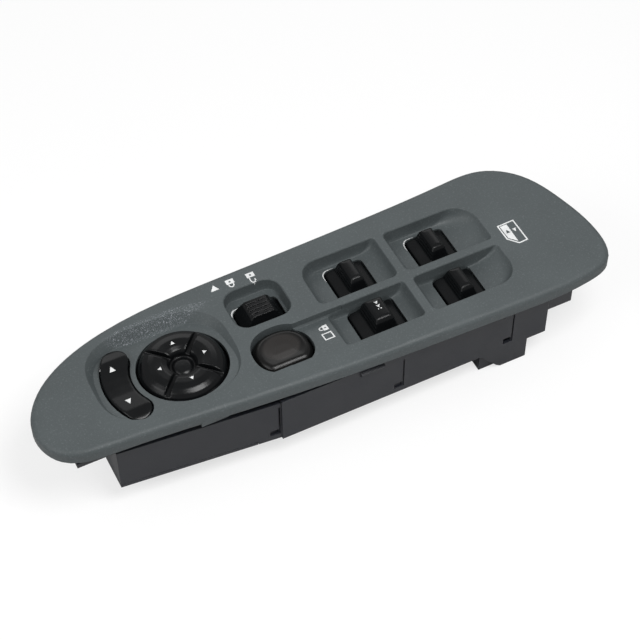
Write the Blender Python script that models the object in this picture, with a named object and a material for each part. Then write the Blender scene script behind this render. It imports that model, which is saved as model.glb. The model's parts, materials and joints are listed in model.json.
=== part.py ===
"""Driver's door switch panel of a pickup truck, built from its separate mouldings.

The frame has +X along the panel towards its wide rear end, +Y across it away from the
seat and +Z up out of the top plate. The origin lies in the middle of the footprint, on
the surface that the connector shrouds stand on. Sizes are in millimetres.
"""
import math

import bmesh
import bpy
import numpy as np
from mathutils import Matrix, Vector

MM = 0.001

# Levels above the surface that the panel stands on
DECK_TOP = 54.4
SKIRT_DEPTH = 7.0
POCKET_DEPTH = 8.0
SOCKET_BELOW_BASE = 14.0
BASE_THICKNESS = 2.0
HOUSING_TOP_DEPTH = 10.5
MIRROR_WALL_DROP = 2.0
PLATFORM_DEPTH = 13.1
PLATFORM_THICKNESS = 2.0
BOARD_DEPTH = 24.4
BOARD_THICKNESS = 1.6
SEAT_GAP = 0.3

# Top plate
PLATE_LENGTH = 304.0
PLATE_WIDTH = 90.0
PLATE_WALL = 2.4
PLATE_EDGE_RADIUS = 2.6

# Window switch pockets
COLUMN_X = (26.5, 73.0)
ROW_Y = (-17.3, 12.2)
BAR_MIDDLE = 49.1
ROW_MIDDLE = -3.3
BAR_WIDTH = 5.4
RIB_WIDTH = 4.8
NEAR_LIP_Y = -29.5
FAR_LIP_Y = 26.8
POCKET_FRONT_X = 3.0
POCKET_REAR_X = 100.5
KEY_OPENING_WIDTH = 22.4
DRIVER_OPENING_WIDTH = 26.2
KEY_OPENING_LENGTH = 22.2
WINDOW_KEY_FAR_RADIUS = 4.0
LABEL_FLOOR_DEPTH = 4.4
LABEL_FLOOR_FRONT_X = -25.7

# Rocking keys
KEY_GAP = 0.9
PIVOT_DEPTH = 9.4
KEY_PROUD = 1.4
DRIVER_KEY_PROUD = 2.4
KEY_SKIRT = 1.4
KEY_WALL = 1.7
KEY_TILT_DEG = 8.0
TRUNNION_RADIUS = 1.5
TRUNNION_CLEARANCE = 0.3
TOWER_HALF_WIDTH = 3.7
TOWER_SLOT_HALF = 2.5
TOWER_RISE = 2.0
TONGUE_ARM = 11.0
TONGUE_HALF = 0.9
TONGUE_TIP_RADIUS = 1.2
TONGUE_WIDTH = 8.0
SLIDER_HALF = 4.5
SLIDER_HEIGHT = 4.7
SLIDER_WIDTH = 12.0
SLIDER_SLOT_CLEARANCE = 0.15

# Door lock rocker
DOOR_POCKET_X = -24.65
DOOR_POCKET_Y = 14.6
DOOR_POCKET_LENGTH = 30.3
DOOR_POCKET_WIDTH = 25.0
DOOR_POCKET_DEPTH = 7.0
DOOR_OPENING_LENGTH = 25.0
DOOR_OPENING_WIDTH = 17.0
DOOR_OPENING_NEAR_Y = 3.3
DOOR_KEY_FAR_RADIUS = 4.6
DOOR_RIBS = 5
DOOR_RIB_PITCH = 2.3

# Window lock button
LOCK_X = -25.7
LOCK_Y = -16.8
LOCK_HALF_LENGTH = 15.6
LOCK_HALF_WIDTH = 14.1
LOCK_TRIM_Y = -28.4
LOCK_GAP = 0.9
LOCK_SHAFT_RADIUS = 3.0
LOCK_BELOW_DECK = 1.0
LOCK_TRAVEL = 2.5

# Mirror controls
DISH_X = -81.5
DISH_Y = 0.3
DISH_HALF_LENGTH = 36.5
DISH_HALF_WIDTH = 27.8
DISH_FAR_DEPTH = 6.0
PAD_X = -72.7
PAD_Y = -2.7
PAD_OPENING_RADIUS = 23.0
PAD_GAP = 1.1
PAD_PROUD = 1.5
PAD_PIVOT_DEPTH = 7.5
PAD_CAP_DEPTH = 3.0
PAD_CAP_RADIUS = 5.2
PAD_GROOVE_WIDTH = 2.6
MIRROR_BOARD_RADIUS = 18.6
MIRROR_BOARD_HOLE = 8.8
SELECT_RADIUS = 33.1
SELECT_HALF_WIDTH = 7.5
SELECT_GAP = 0.8
SELECT_FAR_DEG = 150.0
SELECT_NEAR_DEG = 207.0
SELECT_BELOW_DECK = 0.4

# Switch housing
HOUSING_FRONT_X = -119.8
HOUSING_REAR_X = 113.2
HOUSING_NEAR_Y = -39.4
HOUSING_FAR_Y = 33.0
MIRROR_SECTION_X = -37.5
MIRROR_NEAR_FRONT_Y = -29.9
MIRROR_NEAR_REAR_Y = -38.2
MIRROR_FAR_FRONT_Y = 17.0
HOUSING_WALL = 2.0
LATCH_XS = (-38.8, 29.2, 92.2)
LATCH_WIDTH = 4.6
LATCH_HEIGHT = 4.0

# Connectors
MAIN_SOCKET_X = (76.0, 102.4)
MAIN_SOCKET_Y = (-36.9, -4.0)
MIRROR_SOCKET_X = (-111.0, -87.0)
MIRROR_SOCKET_Y = (-3.0, 14.5)
SOCKET_WALL = 1.7
SOCKET_DEPTH = 15.0
SOCKET_FLOOR = 2.0
PIN_SIZE = 1.2
PIN_BELOW_FLOOR = 9.0

# Screws and their bosses
SCREW_HEAD_RADIUS = 3.2
SCREW_HEAD_HEIGHT = 2.2
SCREW_SHANK_RADIUS = 1.4
SCREW_BITE = 7.0
BOSS_RADIUS = 4.0
EAR_THICKNESS = 3.0

# Levels that follow from the sizes above
SKIRT_BOTTOM = DECK_TOP - SKIRT_DEPTH
POCKET_FLOOR = DECK_TOP - POCKET_DEPTH
HOUSING_TOP = DECK_TOP - HOUSING_TOP_DEPTH
MIRROR_WALL_TOP = HOUSING_TOP - MIRROR_WALL_DROP
PLATFORM_TOP = DECK_TOP - PLATFORM_DEPTH
PLATFORM_BOTTOM = PLATFORM_TOP - PLATFORM_THICKNESS
BOARD_TOP = DECK_TOP - BOARD_DEPTH
BOARD_BOTTOM = BOARD_TOP - BOARD_THICKNESS
BASE_BOTTOM = SOCKET_BELOW_BASE
BASE_TOP = BASE_BOTTOM + BASE_THICKNESS
PIVOT_Z = DECK_TOP - PIVOT_DEPTH
PAD_PIVOT_Z = DECK_TOP - PAD_PIVOT_DEPTH
ROW_RIB_HALF = RIB_WIDTH / 2
HALF_LENGTH = PLATE_LENGTH / 2
HALF_WIDTH = PLATE_WIDTH / 2

# Colours of the mouldings: red, green, blue, roughness, metallic
FINISHES = {
    "slate_trim": (0.105, 0.118, 0.120, 0.55, 0.0),
    "black_key": (0.018, 0.019, 0.020, 0.30, 0.0),
    "lock_key": (0.040, 0.038, 0.036, 0.35, 0.0),
    "black_housing": (0.055, 0.055, 0.062, 0.42, 0.0),
    "board_green": (0.030, 0.130, 0.060, 0.50, 0.0),
    "slider_white": (0.620, 0.610, 0.570, 0.45, 0.0),
    "silicone_grey": (0.300, 0.300, 0.310, 0.70, 0.0),
    "contact_tin": (0.620, 0.600, 0.560, 0.30, 1.0),
    "screw_steel": (0.450, 0.450, 0.440, 0.35, 1.0),
}


def clear_scene():
    for item in list(bpy.data.objects):
        bpy.data.objects.remove(item, do_unlink=True)


def make_material(name):
    red, green, blue, roughness, metallic = FINISHES[name]
    material = bpy.data.materials.new(name)
    material.use_nodes = True
    shader = material.node_tree.nodes["Principled BSDF"]
    shader.inputs["Base Color"].default_value = (red, green, blue, 1.0)
    shader.inputs["Roughness"].default_value = roughness
    shader.inputs["Metallic"].default_value = metallic
    return material


def make_collection(name):
    collection = bpy.data.collections.new(name)
    bpy.context.scene.collection.children.link(collection)
    return collection


clear_scene()
MATERIALS = {name: make_material(name) for name in FINISHES}
PARTS = make_collection("door_switch_panel")
CUTTERS = make_collection("cutters")


# Outlines

def smooth_loop(knots, per_span):
    """Points of a closed cubic curve through the knots, spaced by chord length."""
    knots = np.array(knots, float)
    count = len(knots)
    step = np.linalg.norm(np.roll(knots, -1, axis=0) - knots, axis=1)
    system = np.zeros((count, count))
    right_side = np.zeros((count, 2))
    for i in range(count):
        before, after = step[i - 1], step[i]
        following = (i + 1) % count
        system[i, i - 1] = after
        system[i, i] = 2 * (before + after)
        system[i, following] = before
        right_side[i] = 3 * (
            after / before * (knots[i] - knots[i - 1])
            + before / after * (knots[following] - knots[i])
        )
    slopes = np.linalg.solve(system, right_side)
    points = []
    for i in range(count):
        following = (i + 1) % count
        for t in np.arange(per_span) / per_span:
            points.append(
                (2 * t**3 - 3 * t**2 + 1) * knots[i]
                + (t**3 - 2 * t**2 + t) * step[i] * slopes[i]
                + (3 * t**2 - 2 * t**3) * knots[following]
                + (t**3 - t**2) * step[i] * slopes[following]
            )
    return np.array(points)


def inset_loop(points, distance):
    """The anticlockwise outline moved inwards by a distance."""
    points = np.array(points, float)
    along = np.roll(points, -1, axis=0) - np.roll(points, 1, axis=0)
    along /= np.linalg.norm(along, axis=1)[:, None]
    inward = np.stack([-along[:, 1], along[:, 0]], axis=1)
    return points + inward * distance


def rounded_rectangle(x_low, x_high, y_low, y_high, radii, steps=5):
    """Radii run from the near front corner anticlockwise: near rear, far rear, far front."""
    if isinstance(radii, (int, float)):
        radii = (radii,) * 4
    corners = [(x_low, y_low, 180), (x_high, y_low, 270), (x_high, y_high, 0), (x_low, y_high, 90)]
    towards = [(1, 1), (-1, 1), (-1, -1), (1, -1)]
    points = []
    for (x, y, start), (sx, sy), radius in zip(corners, towards, radii):
        for i in range(steps + 1):
            angle = math.radians(start + 90 * i / steps)
            centre_x = x + sx * radius
            centre_y = y + sy * radius
            points.append((centre_x + radius * math.cos(angle), centre_y + radius * math.sin(angle)))
    return np.array(points)


def superellipse(x, y, half_x, half_y, power, count):
    points = []
    for i in range(count):
        angle = 2 * math.pi * i / count
        c, s = math.cos(angle), math.sin(angle)
        points.append((
            x + half_x * math.copysign(abs(c) ** (2 / power), c),
            y + half_y * math.copysign(abs(s) ** (2 / power), s),
        ))
    return np.array(points)


def kidney(radius, half_width, start_deg, end_deg, steps=10):
    """A round-ended arc about the mirror pad, its ends at the two angles."""
    points = []
    for i in range(steps + 1):
        angle = math.radians(start_deg + (end_deg - start_deg) * i / steps)
        points.append(((radius + half_width) * math.cos(angle), (radius + half_width) * math.sin(angle)))
    points += arc_end(radius, half_width, end_deg, end_deg, steps)
    for i in range(steps + 1):
        angle = math.radians(end_deg + (start_deg - end_deg) * i / steps)
        points.append(((radius - half_width) * math.cos(angle), (radius - half_width) * math.sin(angle)))
    points += arc_end(radius, half_width, start_deg, start_deg + 180, steps)
    return np.array(points)


def arc_end(radius, half_width, at_deg, start_deg, steps):
    centre = (radius * math.cos(math.radians(at_deg)), radius * math.sin(math.radians(at_deg)))
    points = []
    for i in range(1, steps):
        angle = math.radians(start_deg + 180 * i / steps)
        points.append((centre[0] + half_width * math.cos(angle), centre[1] + half_width * math.sin(angle)))
    return points


def plate_outline():
    """The seen edge of the top plate: a wide rear end, a narrow front end and bowed sides."""
    knots = [
        (HALF_LENGTH, -19.0), (HALF_LENGTH - 4.6, 7.0), (HALF_LENGTH - 15.0, 31.0),
        (HALF_LENGTH - 33.0, HALF_WIDTH - 1.2), (HALF_LENGTH - 56.0, HALF_WIDTH - 0.5),
        (35.0, 41.2), (-33.8, 39.2), (-HALF_LENGTH + 50.8, 32.9), (-HALF_LENGTH + 26.5, 24.2),
        (-HALF_LENGTH + 7.0, 8.8), (-HALF_LENGTH, -9.5), (-HALF_LENGTH + 6.9, -26.2),
        (-HALF_LENGTH + 33.5, -32.9), (-53.7, -38.2), (24.9, -43.0), (90.0, -HALF_WIDTH),
        (HALF_LENGTH - 18.6, -HALF_WIDTH + 1.4), (HALF_LENGTH - 5.4, -38.8),
    ]
    return smooth_loop(knots, 6)


# Meshes

def loft(rings):
    """A closed skin over rings of equal length, with flat end faces."""
    mesh = bmesh.new()
    loops = [[mesh.verts.new(Vector(point) * MM) for point in ring] for ring in rings]
    count = len(loops[0])
    for low, high in zip(loops, loops[1:]):
        for i in range(count):
            j = (i + 1) % count
            mesh.faces.new((low[i], low[j], high[j], high[i]))
    mesh.faces.new(list(reversed(loops[0])))
    mesh.faces.new(loops[-1])
    bmesh.ops.recalc_face_normals(mesh, faces=mesh.faces)
    return mesh


def ring_at(outline, z):
    return [(x, y, z) for x, y in outline]


def prism(outline, z_low, z_high):
    return loft([ring_at(outline, z_low), ring_at(outline, z_high)])


def side_prism(outline, y_low, y_high):
    """An outline in X and Z carried along Y."""
    return loft([[(x, y, z) for x, z in outline] for y in (y_low, y_high)])


def end_prism(outline, x_low, x_high):
    """An outline in Y and Z carried along X."""
    return loft([[(x, y, z) for y, z in outline] for x in (x_low, x_high)])


def box(x_low, x_high, y_low, y_high, z_low, z_high):
    mesh = bmesh.new()
    bmesh.ops.create_cube(mesh, size=1.0)
    size = Vector((x_high - x_low, y_high - y_low, z_high - z_low)) * MM
    middle = Vector((x_high + x_low, y_high + y_low, z_high + z_low)) * (MM / 2)
    for vert in mesh.verts:
        vert.co = Vector(a * b for a, b in zip(vert.co, size)) + middle
    return mesh


def cylinder(x, y, z_low, z_high, radius, sides=20, top_radius=None):
    mesh = bmesh.new()
    bmesh.ops.create_cone(
        mesh, cap_ends=True, segments=sides, radius1=radius * MM,
        radius2=(radius if top_radius is None else top_radius) * MM, depth=(z_high - z_low) * MM,
    )
    bmesh.ops.translate(mesh, verts=mesh.verts, vec=Vector((x, y, (z_low + z_high) / 2)) * MM)
    return mesh


def lying_cylinder(axis, start, end, across, z, radius, sides=16):
    """A cylinder along X or Y from start to end, at a place across it."""
    mesh = cylinder(0, 0, 0, end - start, radius, sides)
    turn = Matrix.Rotation(math.pi / 2, 4, "Y") if axis == "X" else Matrix.Rotation(-math.pi / 2, 4, "X")
    bmesh.ops.transform(mesh, matrix=turn, verts=mesh.verts)
    shift = (start, across, z) if axis == "X" else (across, start, z)
    bmesh.ops.translate(mesh, verts=mesh.verts, vec=Vector(shift) * MM)
    return mesh


def turned(profile, sides=48):
    """A profile of radius and height spun about the local Z axis."""
    mesh = bmesh.new()
    verts = [mesh.verts.new((radius * MM, 0, z * MM)) for radius, z in profile]
    edges = [mesh.edges.new(pair) for pair in zip(verts, verts[1:])]
    bmesh.ops.spin(
        mesh, geom=verts + edges, cent=(0, 0, 0), axis=(0, 0, 1), angle=2 * math.pi,
        steps=sides, use_merge=True,
    )
    bmesh.ops.remove_doubles(mesh, verts=mesh.verts, dist=0.00001)
    bmesh.ops.recalc_face_normals(mesh, faces=mesh.faces)
    return mesh


# Objects

def place(name, mesh, material, at=(0, 0, 0), turn_deg=0.0):
    data = bpy.data.meshes.new(name)
    mesh.to_mesh(data)
    mesh.free()
    data.materials.append(MATERIALS[material])
    item = bpy.data.objects.new(name, data)
    item.location = Vector(at) * MM
    item.rotation_euler = (0, 0, math.radians(turn_deg))
    PARTS.objects.link(item)
    return item


def add_tool(target, mesh, operation):
    """A boolean whose tool moves with its target."""
    name = f"{target.name}_tool_{len(target.modifiers)}"
    data = bpy.data.meshes.new(name)
    mesh.to_mesh(data)
    mesh.free()
    tool = bpy.data.objects.new(name, data)
    tool.hide_render = True
    tool.display_type = "WIRE"
    tool.parent = target
    CUTTERS.objects.link(tool)
    modifier = target.modifiers.new(name, "BOOLEAN")
    modifier.operation = operation
    modifier.object = tool


def cut(target, mesh):
    add_tool(target, mesh, "DIFFERENCE")


def join(target, mesh):
    add_tool(target, mesh, "UNION")


def trim(target, mesh):
    add_tool(target, mesh, "INTERSECT")


def bevel_rim(mesh, z, radius, segments):
    """Rounds the edges of the flat face that lies at a height."""
    rim = [
        edge for edge in mesh.edges
        if all(abs(vert.co.z - z * MM) < 1e-6 for vert in edge.verts)
    ]
    bmesh.ops.bevel(
        mesh, geom=rim, offset=radius * MM, segments=segments, profile=0.5, affect="EDGES",
        clamp_overlap=True,
    )
    return mesh


# The four window switch places: name, column, row, opening width, height above deck

WINDOW_KEYS = [
    ("driver_window_rocker", 0, 0, DRIVER_OPENING_WIDTH, DRIVER_KEY_PROUD),
    ("passenger_window_rocker", 0, 1, KEY_OPENING_WIDTH, KEY_PROUD),
    ("rear_left_window_rocker", 1, 0, KEY_OPENING_WIDTH, KEY_PROUD),
    ("rear_right_window_rocker", 1, 1, KEY_OPENING_WIDTH, KEY_PROUD),
]


def key_centre(column, row):
    return COLUMN_X[column], ROW_Y[row]


DOOR_KEY_CENTRE = (DOOR_POCKET_X, DOOR_OPENING_NEAR_Y + DOOR_OPENING_WIDTH / 2)
SELECT_MIDDLE_DEG = (SELECT_FAR_DEG + SELECT_NEAR_DEG) / 2
SELECT_CENTRE = (
    PAD_X + SELECT_RADIUS * math.cos(math.radians(SELECT_MIDDLE_DEG)),
    PAD_Y + SELECT_RADIUS * math.sin(math.radians(SELECT_MIDDLE_DEG)),
)
PAD_RING_HALF = 4.5
PAD_EAR = (5.0, 7.2)


# Top plate

def scoop(x_span, y_span, rises, radii, depth):
    """A dished pocket: each side climbs from the floor on a quarter ellipse of its own width."""
    rings = []
    for angle_deg in (0, 22, 44, 66, 90):
        out = math.sin(math.radians(angle_deg))
        z = DECK_TOP - depth * math.cos(math.radians(angle_deg))
        outline = rounded_rectangle(
            x_span[0] - rises[0] * out, x_span[1] + rises[1] * out,
            y_span[0] - rises[2] * out, y_span[1] + rises[3] * out,
            [max(radius * (0.6 + 0.4 * out), 0.5) for radius in radii],
        )
        rings.append(ring_at(outline, z))
    lip = inset_loop([(x, y) for x, y, _ in rings[-1]], -0.5)
    rings[-1] = [(x, y, DECK_TOP - 0.6) for x, y, _ in rings[-1]]
    rings.append(ring_at(lip, DECK_TOP + 0.01))
    rings.append(ring_at(lip, DECK_TOP + 2.0))
    return loft(rings)


def window_pocket(column, row):
    centre_x, centre_y = key_centre(column, row)
    half = (KEY_OPENING_WIDTH if column or row else DRIVER_OPENING_WIDTH) / 2
    front_lip = BAR_MIDDLE + BAR_WIDTH / 2 if column else POCKET_FRONT_X
    rear_lip = POCKET_REAR_X if column else BAR_MIDDLE - BAR_WIDTH / 2
    near_lip = ROW_MIDDLE + ROW_RIB_HALF if row else NEAR_LIP_Y
    far_lip = FAR_LIP_Y if row else ROW_MIDDLE - ROW_RIB_HALF
    floor_x = (max(front_lip + 4.0, centre_x - half - 6.0), centre_x + half + 0.8)
    floor_y = (near_lip + 0.6, far_lip - 1.4)
    rises = (floor_x[0] - front_lip, rear_lip - floor_x[1], floor_y[0] - near_lip, far_lip - floor_y[1])
    corner = {(0, 0): (2, 2, 2, 2), (0, 1): (3, 3, 2, 10), (1, 0): (3, 11, 2, 3), (1, 1): (3, 2, 13, 3)}
    return scoop(floor_x, floor_y, rises, corner[(column, row)], POCKET_DEPTH)


def key_plan(centre, width, length, far_radius, gap=0.0):
    """The plan of a key's opening, or of the key itself a gap inside it."""
    x_half, y_half = width / 2 - gap, length / 2 - gap
    radii = [max(radius - gap, 0.4) for radius in (1.3, 1.3, far_radius * 0.6, far_radius)]
    return rounded_rectangle(
        centre[0] - x_half, centre[0] + x_half, centre[1] - y_half, centre[1] + y_half, radii)


def key_opening(centre, width, length, far_radius=WINDOW_KEY_FAR_RADIUS):
    return prism(key_plan(centre, width, length, far_radius), PLATFORM_TOP, DECK_TOP + 1)


def lock_outline(gap):
    points = superellipse(LOCK_X, LOCK_Y, LOCK_HALF_LENGTH - gap, LOCK_HALF_WIDTH - gap, 2.3, 48)
    points[:, 1] = np.maximum(points[:, 1], LOCK_TRIM_Y + gap)
    return points


def select_outline(gap):
    local = kidney(SELECT_RADIUS, SELECT_HALF_WIDTH - gap, SELECT_FAR_DEG, SELECT_NEAR_DEG)
    return local + np.array([PAD_X, PAD_Y])


def dish_rings(extra, drop):
    """The mirror dish: a rounded outline whose floor falls away towards the far side."""
    top = superellipse(DISH_X, DISH_Y, DISH_HALF_LENGTH + extra, DISH_HALF_WIDTH + extra, 3.0, 64)
    bottom = []
    for x, y in top:
        share = (y - DISH_Y + DISH_HALF_WIDTH) / (2 * DISH_HALF_WIDTH)
        depth = 0.4 + (DISH_FAR_DEPTH - 0.4) * min(max(share, 0.0), 1.0)
        pull = 1 - 0.75 * depth / DISH_HALF_LENGTH
        inner_y = DISH_Y + (y - DISH_Y) * pull
        share = (inner_y - DISH_Y + DISH_HALF_WIDTH) / (2 * DISH_HALF_WIDTH)
        z = DECK_TOP - 0.4 - (DISH_FAR_DEPTH - 0.4) * share - drop
        bottom.append((DISH_X + (x - DISH_X) * pull, inner_y, z))
    return top, bottom


def dish_cutter():
    top, bottom = dish_rings(0.0, 0.0)
    return loft([bottom, ring_at(top, DECK_TOP), ring_at(top, DECK_TOP + 2)])


def dish_tub():
    top, bottom = dish_rings(PLATE_WALL, PLATE_WALL)
    return loft([bottom, ring_at(top, DECK_TOP - PLATE_WALL / 2)])


def label_floor_cutter():
    """The near row's floor ahead of the driver's key, falling towards the far side."""
    far = ROW_MIDDLE - ROW_RIB_HALF
    slope = [
        (NEAR_LIP_Y, DECK_TOP - 0.05), (far - 0.8, DECK_TOP - LABEL_FLOOR_DEPTH),
        (far, DECK_TOP - LABEL_FLOOR_DEPTH + 1.0), (far + 0.4, DECK_TOP + 2), (NEAR_LIP_Y, DECK_TOP + 2),
    ]
    return end_prism(slope, LABEL_FLOOR_FRONT_X, POCKET_FRONT_X + 9.0)


def screw_places():
    """Name, centre, ear level and ear block of the four fixings of housing to plate."""
    ear_top = MIRROR_WALL_TOP
    return [
        ("front_screw", (-HALF_LENGTH + 21.0, -17.0), ear_top, (-HALF_LENGTH + 13.5, -27.0, HOUSING_FRONT_X, -8.0)),
        ("rear_screw", (HOUSING_REAR_X + 7.4, -31.0), ear_top, (HOUSING_REAR_X, -38.4, HOUSING_REAR_X + 14.4, -24.0)),
        ("far_front_screw", (-80.0, 28.2), ear_top, (-86.0, 23.0, -74.0, 33.0)),
        ("far_rear_screw", (58.0, 37.5), ear_top, (52.0, HOUSING_FAR_Y, 64.0, 40.8)),
    ]


def build_bezel():
    outline = plate_outline()
    body = bevel_rim(prism(outline, SKIRT_BOTTOM, DECK_TOP), DECK_TOP, PLATE_EDGE_RADIUS, 3)
    plate = place("bezel", body, "slate_trim")
    inner = inset_loop(outline, PLATE_WALL)
    roof = inset_loop(outline, PLATE_WALL + 1.4)
    ceiling = DECK_TOP - PLATE_WALL
    cut(plate, loft([
        ring_at(inner, SKIRT_BOTTOM - 2), ring_at(inner, ceiling - 1.4), ring_at(roof, ceiling),
    ]))
    tub_top = DECK_TOP - PLATE_WALL / 2
    tub_bottom = POCKET_FLOOR - PLATE_WALL + 0.2
    join(plate, prism(rounded_rectangle(
        POCKET_FRONT_X - 1.8, POCKET_REAR_X + 1.8, NEAR_LIP_Y - 1.8, FAR_LIP_Y + 1.8, (3, 12, 14, 11)),
        tub_bottom, tub_top))
    join(plate, dish_tub())
    join(plate, prism(rounded_rectangle(
        DOOR_POCKET_X - DOOR_POCKET_LENGTH / 2 - 1.7, DOOR_POCKET_X + DOOR_POCKET_LENGTH / 2 + 1.7,
        DOOR_POCKET_Y - DOOR_POCKET_WIDTH / 2 - 1.7, DOOR_POCKET_Y + DOOR_POCKET_WIDTH / 2 + 1.7, 8),
        DECK_TOP - DOOR_POCKET_DEPTH - 2.0, tub_top))
    join(plate, prism(lock_outline(-1.9), tub_bottom, tub_top))
    join(plate, box(
        LOCK_X, POCKET_FRONT_X + 2, NEAR_LIP_Y - 1.8, ROW_MIDDLE + ROW_RIB_HALF,
        DECK_TOP - LABEL_FLOOR_DEPTH - 2.2, tub_top))
    for _, (x, y), ear_top, _ in screw_places():
        join(plate, cylinder(x, y, ear_top + SEAT_GAP, tub_top, BOSS_RADIUS))
    join(plate, box(-78.0, -64.0, -36.2, -33.4, SKIRT_BOTTOM - 2.0, SKIRT_BOTTOM + 1.0))
    for _, column, row, width, _ in WINDOW_KEYS:
        cut(plate, window_pocket(column, row))
        cut(plate, key_opening(key_centre(column, row), width, KEY_OPENING_LENGTH))
    cut(plate, label_floor_cutter())
    cut(plate, prism(lock_outline(0.0), tub_bottom - 2, DECK_TOP + 2))
    half_x = DOOR_POCKET_LENGTH / 2 - 1.5
    half_y = DOOR_POCKET_WIDTH / 2 - 1.2
    cut(plate, scoop(
        (DOOR_POCKET_X - half_x, DOOR_POCKET_X + half_x), (DOOR_POCKET_Y - half_y, DOOR_POCKET_Y + half_y),
        (1.5, 1.5, 1.2, 1.2), (7, 7, 8, 8), DOOR_POCKET_DEPTH))
    cut(plate, key_opening(DOOR_KEY_CENTRE, DOOR_OPENING_LENGTH, DOOR_OPENING_WIDTH, DOOR_KEY_FAR_RADIUS))
    cut(plate, dish_cutter())
    cut(plate, cylinder(PAD_X, PAD_Y, PLATFORM_TOP, DECK_TOP + 2, PAD_OPENING_RADIUS, 64))
    cut(plate, prism(select_outline(0.0), PLATFORM_TOP, DECK_TOP + 2))
    for _, (x, y), ear_top, _ in screw_places():
        cut(plate, cylinder(x, y, ear_top - 1, ear_top + SCREW_BITE + 1, SCREW_SHANK_RADIUS + SEAT_GAP, 12))
    return plate


# Rocking keys

def mirrored(half):
    """A profile from its half at positive across, given bottom to top, ending on the axis."""
    return half + [(-across, z) for across, z in reversed(half[:-1])]


def key_side_profile(half_width, ridge_half, rise):
    """The section across a window key: low wings and a tall ridge with grip steps."""
    flank = [(ridge_half + 2.0, 3.2)]
    steps = 3
    for i in range(steps):
        z = 3.2 + (rise - 5.2) * (i + 0.6) / steps
        lean = ridge_half + 1.7 - 1.5 * (i + 0.6) / steps
        flank += [(lean, z), (lean + 0.35, z + 0.45), (lean - 0.15, z + 0.9)]
    half = [
        (half_width, -KEY_SKIRT), (half_width, 1.3), (half_width - 0.6, 1.9),
        *flank,
        (ridge_half - 0.1, rise - 0.9), (ridge_half - 0.9, rise - 0.2), (0.0, rise),
    ]
    return mirrored(half)


def key_end_profile(half_length, rise):
    """The section along a window key: the ridge rounds down to the wings at both ends."""
    half = [
        (half_length, -KEY_SKIRT), (half_length, 1.3), (half_length - 0.5, 2.2),
        (half_length - 1.6, rise * 0.45), (half_length - 2.5, rise * 0.78), (half_length - 3.6, rise - 0.6),
        (half_length - 5.2, rise + 0.05), (0.0, rise + 0.2),
    ]
    return mirrored(half)


def hollow_and_hang(key, half_length, cavity_half, wing_half, roof):
    """Opens the key's underside for its tower, hangs its tongue and bores its pivot seats."""
    inside = half_length - KEY_WALL
    cavity = mirrored([
        (wing_half, -KEY_SKIRT - 2), (wing_half, 0.2), (cavity_half, 1.2), (cavity_half, roof), (0.0, roof),
    ])
    cut(key, side_prism(cavity, -inside, inside))
    seat = TRUNNION_RADIUS + TRUNNION_CLEARANCE
    cut(key, lying_cylinder("Y", -half_length - 1, half_length + 1, 0, 0, seat))
    join(key, box(
        -TONGUE_HALF, TONGUE_HALF, -TONGUE_WIDTH / 2, TONGUE_WIDTH / 2, -TONGUE_ARM, roof + 0.5))
    join(key, lying_cylinder(
        "Y", -TONGUE_WIDTH / 2 + 0.01, TONGUE_WIDTH / 2 - 0.01, 0, -TONGUE_ARM, TONGUE_TIP_RADIUS, 12))


def build_window_key(name, column, row, opening_width, proud):
    centre = key_centre(column, row)
    half_width = opening_width / 2 - KEY_GAP
    half_length = KEY_OPENING_LENGTH / 2 - KEY_GAP
    rise = PIVOT_DEPTH + proud
    ridge_half = 4.6 if name.startswith("driver") else 3.2
    key = place(name, side_prism(
        key_side_profile(half_width, ridge_half, rise), -half_length, half_length),
        "black_key", (*centre, PIVOT_Z))
    trim(key, end_prism(key_end_profile(half_length, rise), -half_width - 1, half_width + 1))
    plan = key_plan((0, 0), opening_width, KEY_OPENING_LENGTH, WINDOW_KEY_FAR_RADIUS, KEY_GAP)
    trim(key, prism(plan, -KEY_SKIRT - 1, rise + 1))
    hollow_and_hang(key, half_length, TOWER_HALF_WIDTH + 0.8, half_width - KEY_WALL, TOWER_RISE + 1.6)
    return key


def build_door_key():
    half_width = DOOR_OPENING_LENGTH / 2 - KEY_GAP
    half_length = DOOR_OPENING_WIDTH / 2 - KEY_GAP
    rise = PIVOT_DEPTH + 0.6
    arch = mirrored([
        (half_width, -KEY_SKIRT), (half_width, 1.6), (half_width - 0.8, 2.6), (half_width - 2.6, 4.6),
        (half_width - 4.6, rise - 1.6), (half_width - 6.0, rise - 0.3), (3.0, rise - 0.1), (0.0, rise - 0.2),
    ])
    key = place("door_lock_rocker", side_prism(arch, -half_length, half_length), "black_key",
                (*DOOR_KEY_CENTRE, PIVOT_Z))
    ribs = [(half_length, -KEY_SKIRT), (half_length, 2.0), (half_length - 0.8, rise - 4.2),
            (half_length - 1.8, rise - 1.8)]
    for i in range(DOOR_RIBS // 2, -1, -1):
        crest = i * DOOR_RIB_PITCH
        ribs += [(crest + 1.15, rise - 1.1), (crest + 0.7, rise + 0.1), (crest, rise + 0.1)]
        if i:
            ribs += [(crest - 0.7, rise + 0.1)]
    trim(key, end_prism(mirrored(ribs), -half_width - 1, half_width + 1))
    plan = key_plan((0, 0), DOOR_OPENING_LENGTH, DOOR_OPENING_WIDTH, DOOR_KEY_FAR_RADIUS, KEY_GAP)
    trim(key, prism(plan, -KEY_SKIRT - 1, rise + 1))
    hollow_and_hang(key, half_length, TOWER_HALF_WIDTH + 0.8, half_width - KEY_WALL, TOWER_RISE + 1.6)
    return key


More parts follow.
